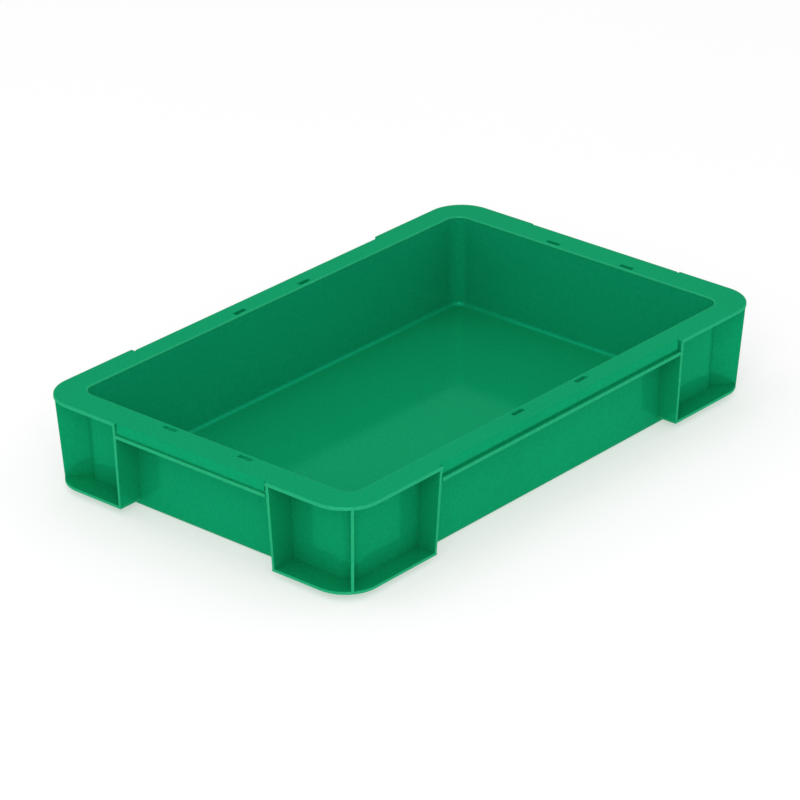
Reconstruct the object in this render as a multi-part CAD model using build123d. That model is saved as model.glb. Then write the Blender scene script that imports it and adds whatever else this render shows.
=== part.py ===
from build123d import *
import os
from math import atan, degrees, sqrt

os.makedirs("parts", exist_ok=True)

# Stacking tray crate, one moulding. X runs along the long sides, Y along the
# short sides, Z up, and the origin is the middle of the underside of the base.
# An end is a short side of the crate, at the left or right, and a side is a long
# one, at the front or rear. "Inset" is always measured inward from the outermost
# upright planes.

# Overall
length = 500.0
width = 318.0
height = 81.0

# Rim
rim_width_end = 26.7
rim_width_side = 22.3
rim_thickness = 2.6
rim_corner_radius = 31.5
opening_radius = 12.0
rim_edge_round = 1.2
recess_end = 1.2
recess_side = 3.0

# Tub
wall_thickness = 2.2
floor_thickness = 2.2
floor_fillet = 3.5
base_round = 4.5

# Feet, raised above the underside so that the base drops into the crate below.
# The walls lean inward just enough for the base to clear that crate's opening.
stack_step = 6.0
stack_clearance = 0.6
foot_thickness = 2.5
foot_inset = 5.3
foot_corner_radius = 29.0
foot_edge_round = 0.6

# Ribs of the corner posts
post_length = 103.5
post_width = 81.2
end_rib_thickness = 2.2
corner_rib_thickness = 2.4
rib_top_inset = 0.5

# Aprons
apron_depth = 13.0
apron_thickness = 2.4
bead_height = 3.0
bead_inset = 0.5
bead_round = 0.6
groove_height = 2.2
groove_depth = 1.0
groove_width = 1.3

# Lid slots, two in the rim of each side and end
slot_length = 13.0
slot_width = 4.0
slot_strip = 3.6
slot_spacing = 76.4

# Derived positions
half_l = length / 2
half_w = width / 2
rim_underside = height - rim_thickness
wall_foot = floor_thickness + floor_fillet
foot_top = stack_step + foot_thickness
wall_lean = wall_thickness + stack_clearance
taper = degrees(atan(wall_lean / (rim_underside - stack_step)))
opening_x = half_l - rim_width_end
opening_y = half_w - rim_width_side
corner_x = opening_x - opening_radius
corner_y = opening_y - opening_radius
rib_x = half_l - post_length
rib_y = half_w - post_width
bay_x = rib_x - end_rib_thickness / 2
bay_y = rib_y - end_rib_thickness / 2
bead_bottom = height - apron_depth
foot_x = half_l - foot_inset
foot_y = half_w - foot_inset
diagonal = sqrt(0.5)
slot_x = opening_x + slot_strip + slot_width / 2
slot_y = opening_y + slot_strip + slot_width / 2


def block(x0, x1, y0, y1, z0, z1):
    """Box between two opposite corners."""
    centre = ((x0 + x1) / 2, (y0 + y1) / 2, (z0 + z1) / 2)
    return Pos(*centre) * Box(x1 - x0, y1 - y0, z1 - z0)


def rounded_plate(half_x, half_y, radius, z0, z1):
    """Plate with rounded corners, centred on the crate."""
    outline = RectangleRounded(2 * half_x, 2 * half_y, radius)
    return extrude(Pos(0, 0, z0) * outline, amount=z1 - z0)


def leaning_body(skin, bottom, bottom_round):
    """Solid that narrows downward, one skin larger all round than the opening."""
    outline = RectangleRounded(
        2 * (opening_x + skin), 2 * (opening_y + skin), opening_radius + skin
    )
    top = Pos(0, 0, rim_underside) * outline
    body = extrude(top, amount=rim_underside - bottom, dir=(0, 0, -1), taper=taper)
    bottom_edges = body.edges().group_by(Axis.Z)[0]
    return fillet(bottom_edges, bottom_round)


tub_outer = leaning_body(wall_thickness, 0.0, base_round)
tub_inner = leaning_body(0.0, floor_thickness, floor_fillet)
tub = tub_outer - tub_inner


def base_panel():
    """Floor with its upturned edge, the part that nests in the crate below."""
    return tub & block(-half_l, half_l, -half_w, half_w, -1.0, wall_foot)


def side_wall():
    """Front wall of the tub, up to the rim."""
    return tub & block(-corner_x, corner_x, -half_w, 0, wall_foot, height)


def end_wall():
    """Left wall of the tub, up to the rim."""
    return tub & block(-half_l, 0, -corner_y, corner_y, wall_foot, height)


def corner_wall():
    """Rounded front left corner of the tub."""
    return tub & block(-half_l, -corner_x, -half_w, -corner_y, wall_foot, height)


def rim_bar(bar, run):
    """Rounds the two long top edges of a straight length of rim."""
    return fillet(bar.edges().filter_by(run).group_by(Axis.Z)[-1], rim_edge_round)


def side_grooves():
    """Upright grooves between the panel of the front skirt and the two posts."""
    bottom = bead_bottom + bead_height
    back = -half_w + recess_side + groove_depth
    right = block(bay_x - groove_width, bay_x, -half_w, back, bottom, height)
    return right + mirror(right, about=Plane.YZ)


def end_grooves():
    """Upright grooves between the panel of the left skirt and the two posts."""
    bottom = bead_bottom + bead_height
    back = -half_l + recess_end + groove_depth
    rear = block(-half_l, back, bay_y - groove_width, bay_y, bottom, height)
    return rear + mirror(rear, about=Plane.XZ)


def side_rim():
    """Front length of the rim between the posts, with its two slots."""
    bar = block(-bay_x, bay_x, -half_w + recess_side, -opening_y, rim_underside, height)
    bar = rim_bar(bar, Axis.X) - side_grooves()
    for turn in (-1, 1):
        slot = Box(slot_length, slot_width, 4 * rim_thickness)
        bar -= Pos(turn * slot_spacing / 2, -slot_y, height) * slot
    return bar


def end_rim():
    """Left length of the rim between the posts, with its two slots."""
    bar = block(-half_l + recess_end, -opening_x, -bay_y, bay_y, rim_underside, height)
    bar = rim_bar(bar, Axis.Y) - end_grooves()
    for turn in (-1, 1):
        slot = Box(slot_width, slot_length, 4 * rim_thickness)
        bar -= Pos(-slot_x, turn * slot_spacing / 2, height) * slot
    return bar


def rim_corner():
    """Front left corner of the rim, capping one post."""
    plate = rounded_plate(half_l, half_w, rim_corner_radius, rim_underside, height)
    plate = fillet(plate.edges().group_by(Axis.Z)[-1], rim_edge_round)
    hole = rounded_plate(
        opening_x, opening_y, opening_radius, rim_underside - 1, height + 1
    )
    ring = plate - hole
    inner = ring.edges().group_by(Axis.Z)[-1].filter_by(
        lambda e: abs(e.center().X) <= opening_x + 0.01
        and abs(e.center().Y) <= opening_y + 0.01
    )
    ring = fillet(inner, rim_edge_round)
    return ring & block(-half_l, -bay_x, -half_w, -bay_y, rim_underside, height)


def apron_profile(face):
    """Section of the hanging skirt, bead to panel: distance in from the outermost plane, height."""
    back = face + apron_thickness
    groove_bottom = bead_bottom + bead_height
    groove_top = groove_bottom + groove_height
    outline = Polyline(
        (back, bead_bottom),
        (bead_inset, bead_bottom),
        (bead_inset, groove_bottom),
        (face + groove_depth, groove_bottom),
        (face + groove_depth, groove_top),
        (face, groove_top),
        (face, rim_underside),
        (back, rim_underside),
        close=True,
    )
    section = make_face(outline)
    nose = section.vertices().sort_by(Axis.X)[:2]
    return fillet(nose, bead_round)


def side_apron():
    """Front skirt below the rim, from post to post."""
    plane = Plane(origin=(-bay_x, -half_w, 0), x_dir=(0, 1, 0), z_dir=(1, 0, 0))
    return extrude(plane * apron_profile(recess_side), amount=2 * bay_x) - side_grooves()


def end_apron():
    """Left skirt below the rim, from post to post."""
    plane = Plane(origin=(-half_l, bay_y, 0), x_dir=(1, 0, 0), z_dir=(0, -1, 0))
    return extrude(plane * apron_profile(recess_end), amount=2 * bay_y) - end_grooves()


def foot():
    """Front left foot plate, which rests on the rim of the crate below."""
    plate = rounded_plate(foot_x, foot_y, foot_corner_radius, stack_step, foot_top)
    plate = fillet(plate.edges().group_by(Axis.Z)[0], foot_edge_round)
    plate = plate - tub_outer
    return plate & block(-half_l, -bay_x, -half_w, -bay_y, stack_step, foot_top)


def rib_outline(top_reach, foot_reach, root):
    """Upright rib: from inside the wall out to a sloping outer edge."""
    return make_face(Polyline(
        (root, foot_top),
        (foot_reach, foot_top),
        (top_reach, rim_underside),
        (root, rim_underside),
        close=True,
    ))


def end_rib(plane, root):
    """Rib that closes one end of a post, standing on the foot plate."""
    outline = rib_outline(-rib_top_inset, -foot_inset, root)
    plate = extrude(plane * outline, amount=end_rib_thickness / 2, both=True)
    return plate - tub_outer


def side_end_rib():
    """End rib on the front side, at the left post."""
    plane = Plane(origin=(-rib_x, -half_w, 0), x_dir=(0, -1, 0), z_dir=(-1, 0, 0))
    return end_rib(plane, -2 * rim_width_side)


def end_end_rib():
    """End rib on the left end, at the front post."""
    plane = Plane(origin=(-half_l, -rib_y, 0), x_dir=(-1, 0, 0), z_dir=(0, 1, 0))
    return end_rib(plane, -2 * rim_width_end)


def reach_to_arc(half_x, half_y, radius):
    """Distance along the corner diagonal to a rounded outline."""
    centre_x = half_x - radius - corner_x
    centre_y = half_y - radius - corner_y
    along = (centre_x + centre_y) * diagonal
    across = (centre_x - centre_y) * diagonal
    return along + sqrt(radius ** 2 - across ** 2)


def corner_rib():
    """Diagonal rib in the middle of the front left post."""
    rim_reach = reach_to_arc(half_l, half_w, rim_corner_radius)
    foot_reach = reach_to_arc(foot_x, foot_y, foot_corner_radius)
    outline = rib_outline(rim_reach - rib_top_inset, foot_reach, opening_radius / 2)
    plane = Plane(
        origin=(-corner_x, -corner_y, 0),
        x_dir=(-diagonal, -diagonal, 0),
        z_dir=(-diagonal, diagonal, 0),
    )
    plate = extrude(plane * outline, amount=corner_rib_thickness / 2, both=True)
    plate = plate - tub_outer
    return plate & rounded_plate(half_l, half_w, rim_corner_radius, 0, height)


def save(shape, name):
    """Writes one piece."""
    export_step(shape, f"parts/{name}.step")


def save_pair(shape, about, first, second):
    """Writes a piece and its mirror image."""
    save(shape, first)
    save(mirror(shape, about=about), second)


def save_four(shape, front_left, front_right, rear_left, rear_right):
    """Writes a front left piece and its three mirror images."""
    rear = mirror(shape, about=Plane.XZ)
    save_pair(shape, Plane.YZ, front_left, front_right)
    save_pair(rear, Plane.YZ, rear_left, rear_right)


save(base_panel(), "base_panel")
save_pair(side_wall(), Plane.XZ, "wall_front", "wall_rear")
save_pair(end_wall(), Plane.YZ, "wall_left", "wall_right")
save_pair(side_rim(), Plane.XZ, "rim_front", "rim_rear")
save_pair(end_rim(), Plane.YZ, "rim_left", "rim_right")
save_pair(side_apron(), Plane.XZ, "apron_front", "apron_rear")
save_pair(end_apron(), Plane.YZ, "apron_left", "apron_right")

for kind, shape in (
    ("corner_wall", corner_wall()),
    ("rim_corner", rim_corner()),
    ("foot", foot()),
    ("corner_rib", corner_rib()),
):
    save_four(shape, f"{kind}_front_left", f"{kind}_front_right",
              f"{kind}_rear_left", f"{kind}_rear_right")

save_four(side_end_rib(), "end_rib_front_left", "end_rib_front_right",
          "end_rib_rear_left", "end_rib_rear_right")
save_four(end_end_rib(), "end_rib_left_front", "end_rib_right_front",
          "end_rib_left_rear", "end_rib_right_rear")
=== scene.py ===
import bpy
import bmesh
from math import cos, radians, sin, sqrt
from mathutils import Matrix, Vector


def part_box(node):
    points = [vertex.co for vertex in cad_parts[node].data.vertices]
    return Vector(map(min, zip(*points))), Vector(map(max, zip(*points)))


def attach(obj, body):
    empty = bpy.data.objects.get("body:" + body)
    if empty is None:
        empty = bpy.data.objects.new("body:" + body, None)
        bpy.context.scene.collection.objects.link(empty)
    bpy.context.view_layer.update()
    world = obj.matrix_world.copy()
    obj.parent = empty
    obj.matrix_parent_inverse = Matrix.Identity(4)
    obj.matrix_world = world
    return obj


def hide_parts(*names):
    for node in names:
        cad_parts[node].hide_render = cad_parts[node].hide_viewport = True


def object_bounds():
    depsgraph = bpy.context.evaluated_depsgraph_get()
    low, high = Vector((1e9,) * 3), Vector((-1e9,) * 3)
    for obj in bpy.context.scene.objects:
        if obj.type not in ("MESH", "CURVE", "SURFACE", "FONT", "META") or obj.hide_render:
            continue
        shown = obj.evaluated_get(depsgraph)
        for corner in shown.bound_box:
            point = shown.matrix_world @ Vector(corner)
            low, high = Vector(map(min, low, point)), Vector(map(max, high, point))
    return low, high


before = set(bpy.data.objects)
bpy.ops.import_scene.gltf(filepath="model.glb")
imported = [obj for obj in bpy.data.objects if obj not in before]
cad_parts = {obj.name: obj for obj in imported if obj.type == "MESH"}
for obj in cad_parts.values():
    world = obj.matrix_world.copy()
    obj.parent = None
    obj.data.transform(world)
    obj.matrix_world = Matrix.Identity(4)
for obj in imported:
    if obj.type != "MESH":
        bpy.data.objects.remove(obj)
cadLow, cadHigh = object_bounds()
print("frame loaded:", len(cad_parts), "nodes")

scene = bpy.context.scene


def mm(metres):
    # Millimetres, to the nearest hundredth.
    return round(metres * 1000, 2)


# Sizes are in millimetres, and finishPiece turns them into metres.
# An end is a short side of the crate, and a side is a long one.
sideLow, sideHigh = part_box("rim_front")
endLow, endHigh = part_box("rim_left")
footLow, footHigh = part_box("foot_front_left")
crate = {
    "halfX": mm(cadHigh.x),
    "halfY": mm(cadHigh.y),
    "height": mm(cadHigh.z),
    "rimUnder": mm(sideLow.z),
    "faceX": -mm(endLow.x),  # outer face of an end between the posts
    "faceY": -mm(sideLow.y),
    "openX": -mm(endHigh.x),
    "openY": -mm(sideHigh.y),
    "openRadius": 12.0,
    "skin": 2.2,
    "clearance": 0.6,  # between the wall of one crate and the opening of the one it stands on
    "bayX": mm(sideHigh.x) - 0.6,  # the posts begin here, a little nearer the middle than in the CAD
    "bayY": mm(endHigh.y) - 0.5,
    "sharpAngle": 40,  # steeper edges than this stay crisp
    "close": 0.01,  # nearer than this counts as the same place
    "millimetre": 0.001,  # in metres
}
# The walls come in by this much for each millimetre down.
crate["lean"] = (crate["skin"] + crate["clearance"]) / (crate["rimUnder"] - mm(footLow.z))
sides = ("front", "rear")
ends = ("left", "right")
corners = (("front_left", -1, -1), ("front_right", 1, -1), ("rear_left", -1, 1), ("rear_right", 1, 1))


class Wire:
    # A socket that can stand in a sum.
    def __init__(self, tree, socket):
        self.tree = tree
        self.socket = socket

    def math(self, operation, other, flipped=False):
        node = self.tree.nodes.new("ShaderNodeMath")
        node.operation = operation
        pair = (other, self) if flipped else (self, other)
        for slot, value in zip(node.inputs, pair):
            plug(self.tree, slot, value)
        return Wire(self.tree, node.outputs[0])

    def __add__(self, other):
        return self.math("ADD", other)

    __radd__ = __add__

    def __mul__(self, other):
        return self.math("MULTIPLY", other)

    __rmul__ = __mul__

    def __sub__(self, other):
        return self.math("SUBTRACT", other)

    def __rsub__(self, other):
        return self.math("SUBTRACT", other, flipped=True)


def plug(tree, slot, value):
    if isinstance(value, Wire):
        tree.links.new(value.socket, slot)
    else:
        slot.default_value = value


class Recipe:
    # A material while its nodes are being put together.
    def __init__(self, name):
        self.material = bpy.data.materials.new(name)
        self.material.use_nodes = True
        self.tree = self.material.node_tree
        self.surface = self.tree.nodes["Principled BSDF"]

    def node(self, kind, settings, values, output=0):
        made = self.tree.nodes.new(kind)
        for name, value in settings.items():
            setattr(made, name, value)
        for name, value in values.items():
            plug(self.tree, made.inputs[name], value)
        return Wire(self.tree, made.outputs[output])

    def noise(self, scale, detail):
        where = self.node("ShaderNodeTexCoord", {}, {}, "Object")
        values = {"Vector": where, "Scale": scale, "Detail": detail}
        return self.node("ShaderNodeTexNoise", {}, values, "Fac")

    def blend(self, factor, first, second):
        # Sockets 6 and 7 are the two colours, and output 2 is the mixed one.
        values = {"Factor": factor, 6: (*first, 1), 7: (*second, 1)}
        return self.node("ShaderNodeMix", {"data_type": "RGBA"}, values, 2)

    def finish(self, values):
        for name, value in values.items():
            plug(self.tree, self.surface.inputs[name], value)
        return self.material


# Moulded plastic: slow clouds and fine specks in the colour, and a fine grain in the surface.
plasticLook = {
    "name": "cratePlastic",
    "dark": (0.0034, 0.290, 0.120),
    "light": (0.0048, 0.376, 0.156),
    "metallic": 0.18,
    "specular": 0.006,
    "tint": (0.25, 1.0, 0.6),
    "roughness": 0.10,
    "cloudScale": 7.0,
    "cloudDetail": 3.0,
    "cloudColor": 0.5,
    "cloudRoughness": 0.06,
    "speckScale": 420.0,
    "speckColor": 1.3,
    "flowScale": 60.0,
    "flowRoughness": 0.05,
    "grainScale": 1500.0,
    "grainHeight": 0.4,
    "fineDetail": 2.0,
    "bumpStrength": 0.10,
    "bumpDepth": 0.0002,  # in metres
}
# A paler copy of the plastic: a painted highlight for rounded outer edges, the bead front, the rib edges
# and the lip of the opening.
highlightLook = dict(
    plasticLook, name="cratePaintedHighlightPlastic", dark=(0.014, 0.36, 0.155), light=(0.026, 0.45, 0.205),
)
# A paler, bluer copy of the plastic: painted light on the inner walls, which get less light through the
# opening.
paintedLightInnerLook = dict(
    plasticLook, name="crateInnerPaintedLightPlastic", dark=(0.0040, 0.310, 0.150), light=(0.0056, 0.400, 0.192),
)


def makePlastic(p):
    r = Recipe(p["name"])
    cloud = r.noise(p["cloudScale"], p["cloudDetail"])
    grain = r.noise(p["grainScale"], p["fineDetail"])
    flow = r.noise(p["flowScale"], p["fineDetail"])
    speck = r.noise(p["speckScale"], p["fineDetail"])
    mottle = 0.5 + (cloud - 0.5) * p["cloudColor"] + (speck - 0.5) * p["speckColor"]
    color = r.blend(mottle, p["dark"], p["light"])
    roughness = p["roughness"] + (cloud - 0.5) * p["cloudRoughness"] + (flow - 0.5) * p["flowRoughness"]
    height = grain * p["grainHeight"] + speck
    bump = {"Strength": p["bumpStrength"], "Distance": p["bumpDepth"], "Height": height}
    return r.finish({
        "Base Color": color,
        "Metallic": p["metallic"],
        "Specular IOR Level": p["specular"],
        "Specular Tint": (*p["tint"], 1),
        "Roughness": roughness,
        "Normal": r.node("ShaderNodeBump", {}, bump, "Normal"),
    })


plastic = makePlastic(plasticLook)
highlightPlastic = makePlastic(highlightLook)
paintedLightInnerPlastic = makePlastic(paintedLightInnerLook)
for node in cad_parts.values():
    node.data.materials.clear()
    node.data.materials.append(plastic)
print("plastic made")


def bevel(bm, edges, offset, segments):
    bmesh.ops.bevel(
        bm, geom=list(edges), offset=offset, offset_type="OFFSET", segments=segments,
        profile=0.5, affect="EDGES", material=-1, clamp_overlap=False,
    )


def middleOf(edge):
    return (edge.verts[0].co + edge.verts[1].co) / 2


def isLevel(edge):
    return abs(edge.verts[0].co.z - edge.verts[1].co.z) < crate["close"]


def upright(bm, x, y, reach=0.1):
    # The upright edges within reach of (±x, ±y).
    found = []
    for e in bm.edges:
        rise = e.verts[0].co - e.verts[1].co
        middle = middleOf(e)
        near = Vector((abs(middle.x) - x, abs(middle.y) - y)).length < reach
        if near and abs(rise.z) > 0.99 * rise.length:
            found.append(e)
    return found


def plate(points, thickness, axis):
    # A flat face from a few corner points, thickened along axis, half each way.
    bm = bmesh.new()
    face = bm.faces.new([bm.verts.new(p) for p in points])
    bmesh.ops.translate(bm, vec=Vector(axis) * -thickness / 2, verts=bm.verts)
    grown = bmesh.ops.extrude_face_region(bm, geom=[face])["geom"]
    far = [g for g in grown if isinstance(g, bmesh.types.BMVert)]
    bmesh.ops.translate(bm, vec=Vector(axis) * thickness, verts=far)
    bmesh.ops.recalc_face_normals(bm, faces=bm.faces)
    return bm


def finishPiece(name, bm, nodes, paintedHighlight=None, flip=(1, 1), paintedLightInside=None):
    # Faces for which the highlight test holds, given their middle and normal, get the paler plastic of a
    # painted highlight, and those for which the inside test holds get a paler, bluer plastic: painted
    # light on the inner walls.
    bmesh.ops.recalc_face_normals(bm, faces=bm.faces)
    for f in bm.faces:
        f.smooth = True
        if paintedHighlight and paintedHighlight(f.calc_center_median(), f.normal):
            f.material_index = 1
        if paintedLightInside and paintedLightInside(f.calc_center_median(), f.normal):
            f.material_index = 2
    bmesh.ops.scale(bm, vec=Vector((*flip, 1)) * crate["millimetre"], verts=bm.verts)
    bmesh.ops.recalc_face_normals(bm, faces=bm.faces)
    for e in bm.edges:
        e.smooth = len(e.link_faces) == 2 and e.calc_face_angle() < radians(crate["sharpAngle"])
    mesh = bpy.data.meshes.new(name + "_shell")
    bm.to_mesh(mesh)
    bm.free()
    for material in (plastic, highlightPlastic, paintedLightInnerPlastic):
        mesh.materials.append(material)
    obj = bpy.data.objects.new(name + "_shell", mesh)
    scene.collection.objects.link(obj)
    normals = obj.modifiers.new("flatFaces", "WEIGHTED_NORMAL")
    normals.weight = 100
    normals.keep_sharp = True
    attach(obj, "root")
    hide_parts(*nodes)


tubShape = {
    "floor": 2.2,
    "floorFillet": 3.5,
    "baseRound": 4.5,
    "sink": 0.4,  # how far the walls run up into the rim
    "edgeSearch": 9.0,  # the middle of a leaning corner edge is nearer than this to the top corner
    "cornerSteps": 14,
    "roundSteps": 6,
    "nodes": ["base_panel"]
    + ["wall_" + s for s in sides + ends]
    + ["corner_wall_" + c[0] for c in corners],
}


def makeTub(t):
    top = crate["rimUnder"] + t["sink"]
    outerX, outerY = crate["openX"] + crate["skin"], crate["openY"] + crate["skin"]
    outerRadius = crate["openRadius"] + crate["skin"]
    bm = bmesh.new()
    bmesh.ops.create_cube(bm, size=2)
    bmesh.ops.translate(bm, vec=(0, 0, 1), verts=bm.verts)
    bmesh.ops.scale(bm, vec=(outerX, outerY, top / 2), verts=bm.verts)
    pull = crate["lean"] * top
    low = [v for v in bm.verts if v.co.z < 1]
    bmesh.ops.scale(bm, vec=(1 - pull / outerX, 1 - pull / outerY, 1), verts=low)
    bevel(bm, upright(bm, outerX, outerY, t["edgeSearch"]), outerRadius, t["cornerSteps"])
    base = min(bm.faces, key=lambda f: f.calc_center_median().z)
    bevel(bm, base.edges, t["baseRound"], t["roundSteps"])

    # The hollow is the top face, drawn in by the wall and pushed down to the floor.
    lid = max(bm.faces, key=lambda f: f.calc_center_median().z)
    bmesh.ops.inset_region(bm, faces=[lid], thickness=crate["skin"], use_even_offset=True)
    floor = bmesh.ops.extrude_discrete_faces(bm, faces=[lid])["faces"][0]
    pull = crate["lean"] * (top - t["floor"])
    drawnIn = (1 - pull / crate["openX"], 1 - pull / crate["openY"], 1)
    bmesh.ops.translate(bm, vec=(0, 0, t["floor"] - top), verts=floor.verts)
    bmesh.ops.scale(bm, vec=drawnIn, verts=floor.verts)
    bevel(bm, floor.edges, t["floorFillet"], t["roundSteps"])

    # The inner faces of the walls, which get the paler, bluer plastic of painted light.
    def paintedLightInside(c, n):
        return c.z > t["floor"] + 0.1 and abs(n.z) < 0.9 and c.x * n.x + c.y * n.y < 0

    finishPiece("tub", bm, t["nodes"], paintedLightInside=paintedLightInside)


makeTub(tubShape)
print("tub made")


rimShape = {
    "thickness": crate["height"] - crate["rimUnder"],
    "cornerRadius": 31.5,
    "cornerSteps": 20,
    "openSteps": 14,
    "lip": 1.2,
    "lipSteps": 4,
    "notchWidth": 1.3,  # a small notch beside each post
    "notchDepth": 1.0,
    "slotLength": 13.0,
    "slotWidth": 4.0,
    "slotStrip": 3.6,  # rim left between a slot and the opening
    "slotSpacing": 76.4,
    "slotRadius": 0.8,
    "slotRadiusSteps": 3,
    "slotRound": 0.35,
    "slotRoundSteps": 2,
    "nodes": ["rim_" + s for s in sides + ends] + ["rim_corner_" + c[0] for c in corners],
}


def makeRim(r):
    halfX, halfY, openX, openY = crate["halfX"], crate["halfY"], crate["openX"], crate["openY"]
    faceX, faceY, bayX, bayY = crate["faceX"], crate["faceY"], crate["bayX"], crate["bayY"]
    pitch, reach = r["slotSpacing"] / 2, r["slotLength"] / 2
    strip, across = r["slotStrip"], r["slotStrip"] + r["slotWidth"]
    notchX, notchY = bayX - r["notchWidth"], bayY - r["notchWidth"]
    notchFaceX, notchFaceY = faceX - r["notchDepth"], faceY - r["notchDepth"]
    slotCuts = (pitch - reach, pitch, pitch + reach)
    cutsX = slotCuts + (notchX, bayX, notchFaceX, faceX, openX, openX + strip, openX + across)
    cutsY = slotCuts + (notchY, bayY, notchFaceY, faceY, openY, openY + strip, openY + across)
    bm = bmesh.new()
    bmesh.ops.create_grid(bm, x_segments=1, y_segments=1, size=1)
    bmesh.ops.scale(bm, vec=(halfX, halfY, 1), verts=bm.verts)
    bmesh.ops.translate(bm, vec=(0, 0, crate["height"]), verts=bm.verts)
    for axis, cuts in ((Vector((1, 0, 0)), cutsX), (Vector((0, 1, 0)), cutsY)):
        for cut in cuts:
            for turn in (-1, 1):
                bmesh.ops.bisect_plane(
                    bm, geom=bm.verts[:] + bm.edges[:] + bm.faces[:], dist=0.001,
                    plane_co=axis * cut * turn, plane_no=axis,
                )

    # What falls in the opening, a slot, a recess between two posts or a notch beside a post goes.
    gone = []
    for f in bm.faces:
        c = f.calc_center_median()
        x, y = abs(c.x), abs(c.y)
        inOpening = x < openX and y < openY
        inSideSlot = abs(x - pitch) < reach and openY + strip < y < openY + across
        inEndSlot = abs(y - pitch) < reach and openX + strip < x < openX + across
        inSideRecess = x < bayX and y > faceY
        inEndRecess = y < bayY and x > faceX
        inSideNotch = notchX < x < bayX and y > notchFaceY
        inEndNotch = notchY < y < bayY and x > notchFaceX
        cutFromSide = inSideSlot or inSideRecess or inSideNotch
        cutFromEnd = inEndSlot or inEndRecess or inEndNotch
        if inOpening or cutFromSide or cutFromEnd:
            gone.append(f)
    bmesh.ops.delete(bm, geom=gone, context="FACES")

    # Only the cuts through the middles of the slots stay, so no face has a hole in it.
    spare = []
    for e in bm.edges:
        places = [(abs(v.co.x), abs(v.co.y)) for v in e.verts]
        acrossSide = all(abs(x - pitch) < crate["close"] and y > openY - 1 for x, y in places)
        acrossEnd = all(abs(y - pitch) < crate["close"] and x > openX - 1 for x, y in places)
        if len(e.link_faces) == 2 and not acrossSide and not acrossEnd:
            spare.append(e)
    bmesh.ops.dissolve_limit(
        bm, angle_limit=0.01, use_dissolve_boundaries=False, verts=bm.verts[:], edges=spare,
    )
    grown = bmesh.ops.extrude_face_region(bm, geom=bm.faces[:])["geom"]
    lower = [g for g in grown if isinstance(g, bmesh.types.BMVert)]
    bmesh.ops.translate(bm, vec=(0, 0, -r["thickness"]), verts=lower)
    bmesh.ops.recalc_face_normals(bm, faces=bm.faces)
    bevel(bm, upright(bm, halfX, halfY), r["cornerRadius"], r["cornerSteps"])
    bevel(bm, upright(bm, openX, openY), crate["openRadius"], r["openSteps"])
    for turn in (-1, 1):
        for edge in (strip, across):
            sideCorner = upright(bm, pitch + turn * reach, openY + edge)
            bevel(bm, sideCorner, r["slotRadius"], r["slotRadiusSteps"])
            endCorner = upright(bm, openX + edge, pitch + turn * reach)
            bevel(bm, endCorner, r["slotRadius"], r["slotRadiusSteps"])

    # The lips are the top edges, and those round the slots are finer.
    lips, slots = [], []
    for e in bm.edges:
        c = middleOf(e)
        x, y = abs(c.x), abs(c.y)
        if len(e.link_faces) == 2 and sum(f.normal.z > 0.99 for f in e.link_faces) == 1:
            byEndSlot = openX + 1 < x < openX + across + 1 and abs(y - pitch) < reach + 1
            bySideSlot = openY + 1 < y < openY + across + 1 and abs(x - pitch) < reach + 1
            (slots if byEndSlot or bySideSlot else lips).append(e)
    bevel(bm, slots, r["slotRound"], r["slotRoundSteps"])
    bevel(bm, lips, r["lip"], r["lipSteps"])

    # The outer edges over the posts, and the lip round the opening, get the paler plastic of a painted
    # highlight.
    def paintedHighlight(c, n):
        onPost = abs(c.x) > bayX and abs(c.y) > bayY
        outward = c.x * n.x + c.y * n.y > 0
        atOpening = abs(c.x) < openX + r["lip"] and abs(c.y) < openY + r["lip"]
        return (onPost and outward and -0.5 < n.z < 0.9) or (atOpening and 0.1 < n.z < 0.99)

    finishPiece("rim", bm, r["nodes"], paintedHighlight)


makeRim(rimShape)
print("rim made")


apronShape = {
    "bottom": mm(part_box("apron_front")[0].z),
    "thickness": 2.4,
    "beadHeight": 3.0,
    "beadInset": 0.5,
    "beadRound": 0.8,
    "beadSteps": 3,
    "grooveHeight": 2.2,
    "grooveDepth": 1.0,
    "panelLap": 0.5,  # the back of the panel lies this far in front of the skirt's
    "panelRound": 0.3,
    "panelSteps": 2,
    "sink": 0.6,  # how far the skirt runs up into the rim
}


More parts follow.
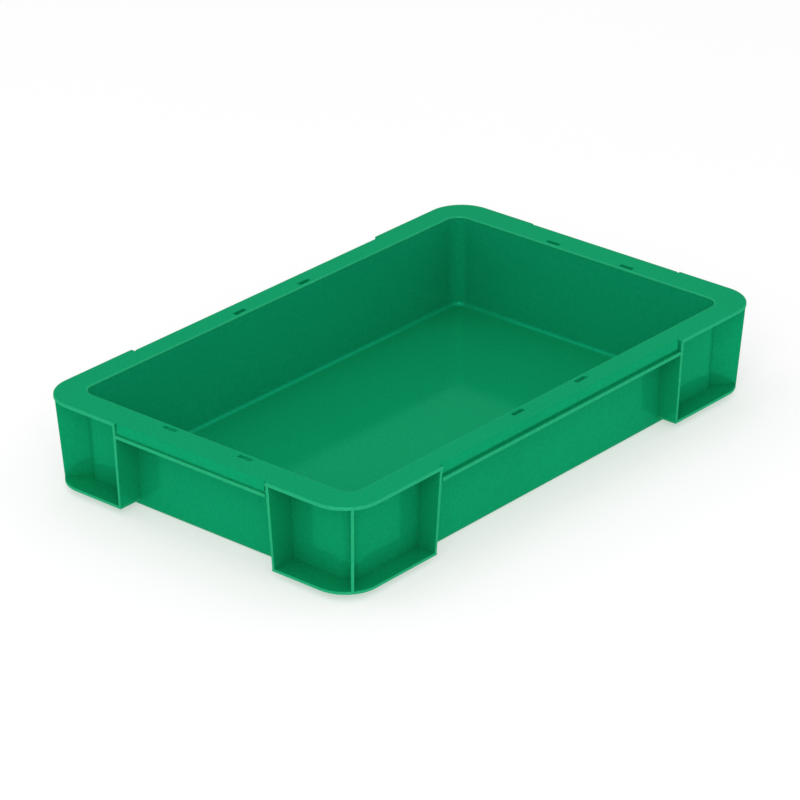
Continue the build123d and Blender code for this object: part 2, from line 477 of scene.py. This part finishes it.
def makeApron(a, name, half, face, reach, endways, turn):
    # A skirt with a bead along its foot, and a panel over the groove that stops short of the posts.
    # Insets are measured from the outermost plane of that side.
    front = half - face
    back = front + a["thickness"]
    skirt = front + a["grooveDepth"]
    bottom = a["bottom"]
    beadTop = bottom + a["beadHeight"]
    panelLow = beadTop + a["grooveHeight"]
    panelLength = 2 * (reach - rimShape["notchWidth"])

    def bar(outer, inner, low, high, length):
        section = ((inner, low), (outer, low), (outer, high), (inner, high))
        if endways:
            return plate([(turn * (half - inset), 0, z) for inset, z in section], length, (0, 1, 0))
        return plate([(0, turn * (half - inset), z) for inset, z in section], length, (1, 0, 0))

    def outerRuns(bm, low, high):
        found = []
        for e in bm.edges:
            middle = middleOf(e)
            inset = half - abs(middle.x if endways else middle.y)
            between = low - crate["close"] < middle.z < high + crate["close"]
            if inset < skirt - 0.1 and between and isLevel(e):
                found.append(e)
        return found

    parts = [
        bar(skirt, back, bottom, crate["rimUnder"] + a["sink"], 2 * reach),
        bar(a["beadInset"], back, bottom, beadTop, 2 * reach),
        bar(front, back - a["panelLap"], panelLow, crate["rimUnder"], panelLength),
    ]
    bevel(parts[1], outerRuns(parts[1], bottom, beadTop), a["beadRound"], a["beadSteps"])
    bevel(parts[2], outerRuns(parts[2], panelLow, panelLow), a["panelRound"], a["panelSteps"])
    bm = parts[0]
    for part in parts[1:]:
        spare = bpy.data.meshes.new("spare")
        part.to_mesh(spare)
        part.free()
        bm.from_mesh(spare)
        bpy.data.meshes.remove(spare)

    # The rounded front of the bead, and its ends, get the paler plastic of a painted highlight.
    def paintedHighlight(c, n):
        inset = half - abs(c.x if endways else c.y)
        return c.z < beadTop + crate["close"] and inset < front + (0.3 if endways else -0.1)

    finishPiece("apron_" + name, bm, ["apron_" + name], paintedHighlight)


for side, turn in zip(sides, (-1, 1)):
    makeApron(apronShape, side, crate["halfY"], crate["faceY"], crate["bayX"], False, turn)
for end, turn in zip(ends, (-1, 1)):
    makeApron(apronShape, end, crate["halfX"], crate["faceX"], crate["bayY"], True, turn)
print("aprons made")


footShape = {
    "low": mm(footLow.z),
    "top": mm(footHigh.z),
    "outX": -mm(footLow.x),
    "outY": -mm(footLow.y),
    "cornerRadius": 29.0,
    "cornerSteps": 18,
    "insideSteps": 10,
    "edge": 0.6,
    "edgeSteps": 3,
    "sink": 1.0,  # how far the plate runs into the wall
}
ribShape = {
    "endThickness": 2.2,
    "endThicker": 0.8,  # added at the top of an end rib, on its post side
    "splay": 1.3,  # how much further from the bay an end rib stands at its foot
    "cornerThickness": 2.4,
    "topInset": 0.5,
    "edge": 0.55,
    "edgeSteps": 3,
    "sink": 0.6,  # how far a rib runs into the rim, and into the foot too
}


def makeFoot(f, name, turnX, turnY):
    outX, outY, thickness = f["outX"], f["outY"], f["top"] - f["low"]
    pull = crate["lean"] * (crate["rimUnder"] - f["low"]) - crate["skin"] + f["sink"]
    inX, inY = crate["openX"] - pull, crate["openY"] - pull
    endX, endY = crate["bayX"] + ribShape["splay"], crate["bayY"] + ribShape["splay"]
    outline = ((outX, endY), (outX, outY), (endX, outY), (endX, inY), (inX, inY), (inX, endY))
    bm = plate([(x, y, f["low"] + thickness / 2) for x, y in outline], thickness, (0, 0, 1))
    bevel(bm, upright(bm, outX, outY), f["cornerRadius"], f["cornerSteps"])
    bevel(bm, upright(bm, inX, inY), crate["openRadius"] - pull, f["insideSteps"])
    outer = []
    for e in bm.edges:
        c = middleOf(e)
        if isLevel(e) and (c.x > inX + 1 or c.y > inY + 1):
            outer.append(e)
    bevel(bm, outer, f["edge"], f["edgeSteps"])

    # The outer edge of the plate gets the paler plastic of a painted highlight.
    def paintedHighlight(c, n):
        return (c.x > inX + 3 or c.y > inY + 3) and abs(n.z) < 0.9

    finishPiece("foot_" + name, bm, ["foot_" + name], paintedHighlight, (turnX, turnY))


for name, turnX, turnY in corners:
    makeFoot(footShape, name, turnX, turnY)
print("feet made")


def makeRib(r, name, rib, flip):
    # The root lies in the middle of the leaning wall, and along points outward from it.
    low, top = footShape["top"] - r["sink"], crate["rimUnder"] + r["sink"]
    along, normal, start = Vector(rib["along"]), Vector(rib["normal"]), Vector(rib["start"])
    root = rib["opening"] + crate["skin"] / 2
    lowRoot = root - crate["lean"] * (top - low)
    outline = ((lowRoot, low), (rib["lowOut"], low), (rib["topOut"], top), (root, top))
    bm = plate([start + along * out + Vector((0, 0, z)) for out, z in outline], rib["thickness"], normal)
    if rib["drafted"]:
        for v in bm.verts:
            postSide = (v.co - start).dot(normal) > 0
            part = (v.co.z - low) / (top - low)
            v.co += normal * (r["splay"] * (1 - part) + (r["endThicker"] * part if postSide else 0))
    outer = []
    for e in bm.edges:
        beyond = (middleOf(e) - start).dot(along) > (root + rib["topOut"]) / 2
        if beyond and not isLevel(e):
            outer.append(e)
    bevel(bm, outer, r["edge"], r["edgeSteps"])
    # The outer edge of the rib gets the paler plastic of a painted highlight.
    finishPiece(name, bm, [name], lambda c, n: n.dot(along) > 0.5, flip)


def cornerReach(outX, outY, radius):
    # How far a rounded outline lies from the wall corner's centre, along the diagonal.
    x = outX - radius - (crate["openX"] - crate["openRadius"])
    y = outY - radius - (crate["openY"] - crate["openRadius"])
    return (x + y) * sqrt(0.5) + sqrt(radius ** 2 - (x - y) ** 2 / 2)


def makePostRibs(r, name, turnX, turnY):
    side, end = name.split("_")
    half = r["endThickness"] / 2
    sideRib = {
        "along": (0, 1, 0),
        "normal": (1, 0, 0),
        "start": (crate["bayX"] + half, 0, 0),
        "opening": crate["openY"],
        "topOut": crate["halfY"] - r["topInset"],
        "lowOut": footShape["outY"],
        "thickness": r["endThickness"],
        "drafted": True,
    }
    endRib = {
        "along": (1, 0, 0),
        "normal": (0, 1, 0),
        "start": (0, crate["bayY"] + half, 0),
        "opening": crate["openX"],
        "topOut": crate["halfX"] - r["topInset"],
        "lowOut": footShape["outX"],
        "thickness": r["endThickness"],
        "drafted": True,
    }
    rimReach = cornerReach(crate["halfX"], crate["halfY"], rimShape["cornerRadius"])
    cornerRib = {
        "along": (sqrt(0.5), sqrt(0.5), 0),
        "normal": (sqrt(0.5), -sqrt(0.5), 0),
        "start": (crate["openX"] - crate["openRadius"], crate["openY"] - crate["openRadius"], 0),
        "opening": crate["openRadius"],
        "topOut": rimReach - r["topInset"],
        "lowOut": cornerReach(footShape["outX"], footShape["outY"], footShape["cornerRadius"]),
        "thickness": r["cornerThickness"],
        "drafted": False,
    }
    makeRib(r, "end_rib_" + side + "_" + end, sideRib, (turnX, turnY))
    makeRib(r, "end_rib_" + end + "_" + side, endRib, (turnX, turnY))
    makeRib(r, "corner_rib_" + name, cornerRib, (turnX, turnY))


for name, turnX, turnY in corners:
    makePostRibs(ribShape, name, turnX, turnY)
print("ribs made")


# The floor glows a little, so that it stays pale round the crate. Its sizes are in metres.
studio = {
    "floorHalf": 6,
    "floorDrop": 0.0002,
    "floorScale": 3.0,
    "floorDetail": 2.0,
    "floorDark": (0.54, 0.54, 0.54),
    "floorLight": (0.55, 0.55, 0.55),
    "floorRoughness": 0.9,
    "floorSpecular": 0.1,
    "floorGlow": 0.50,
    "worldStrength": 0.80,
    "lights": (
        {"name": "frontBox", "where": (-1.6, -1.15, 1.45), "at": (0, 0, 0.05), "size": 1.2, "power": 12},
        {"name": "topBox", "where": (-0.5, 0.4, 2.2), "at": (0, 0, 0), "size": 1.0, "power": 3},
    ),
}


def makeFloor(s):
    bm = bmesh.new()
    bmesh.ops.create_grid(bm, x_segments=1, y_segments=1, size=s["floorHalf"])
    bmesh.ops.translate(bm, vec=(0, 0, -s["floorDrop"]), verts=bm.verts)
    mesh = bpy.data.meshes.new("floor")
    bm.to_mesh(mesh)
    bm.free()
    look = Recipe("floorPaper")
    cloud = look.noise(s["floorScale"], s["floorDetail"])
    mesh.materials.append(look.finish({
        "Base Color": look.blend(cloud, s["floorDark"], s["floorLight"]),
        "Roughness": s["floorRoughness"],
        "Specular IOR Level": s["floorSpecular"],
        "Emission Color": (1, 1, 1, 1),
        "Emission Strength": s["floorGlow"],
    }))
    floor = bpy.data.objects.new("floor", mesh)
    scene.collection.objects.link(floor)


def makeLight(light):
    data = bpy.data.lights.new(light["name"], "AREA")
    data.energy = light["power"]
    data.size = light["size"]
    obj = bpy.data.objects.new(light["name"], data)
    aim = Vector(light["at"]) - Vector(light["where"])
    obj.location = light["where"]
    obj.rotation_euler = aim.to_track_quat("-Z", "Y").to_euler()
    scene.collection.objects.link(obj)


makeFloor(studio)
for light in studio["lights"]:
    makeLight(light)
world = bpy.data.worlds.new("studio")
world.use_nodes = True
world.node_tree.nodes["Background"].inputs["Color"].default_value = (1, 1, 1, 1)
world.node_tree.nodes["Background"].inputs["Strength"].default_value = studio["worldStrength"]
scene.world = world
scene.view_settings.view_transform = "Standard"

# Angles are in degrees and places in metres.
view = {
    "azimuth": -49.271,
    "elevation": 25.534,
    "roll": -0.213,
    "distance": 3.4077,
    "target": (-0.00569, 0.00293, 0.03432),
    "lens": 195.52,
    "farthest": 20,
}


def makeCamera(v):
    azimuth, elevation, roll = radians(v["azimuth"]), radians(v["elevation"]), radians(v["roll"])
    back = Vector((sin(azimuth) * cos(elevation), -cos(azimuth) * cos(elevation), sin(elevation)))
    right = (-back).cross(Vector((0, 0, 1))).normalized()
    up = right.cross(-back)
    tiltedRight = right * cos(roll) + up * sin(roll)
    tiltedUp = up * cos(roll) - right * sin(roll)
    turn = Matrix((tiltedRight, tiltedUp, back)).transposed()
    data = bpy.data.cameras.new("mainCamera")
    data.lens = v["lens"]
    data.clip_end = v["farthest"]
    obj = bpy.data.objects.new("mainCamera", data)
    obj.matrix_world = Matrix.Translation(Vector(v["target"]) + back * v["distance"]) @ turn.to_4x4()
    scene.collection.objects.link(obj)
    scene.camera = obj


makeCamera(view)
print("stage made")
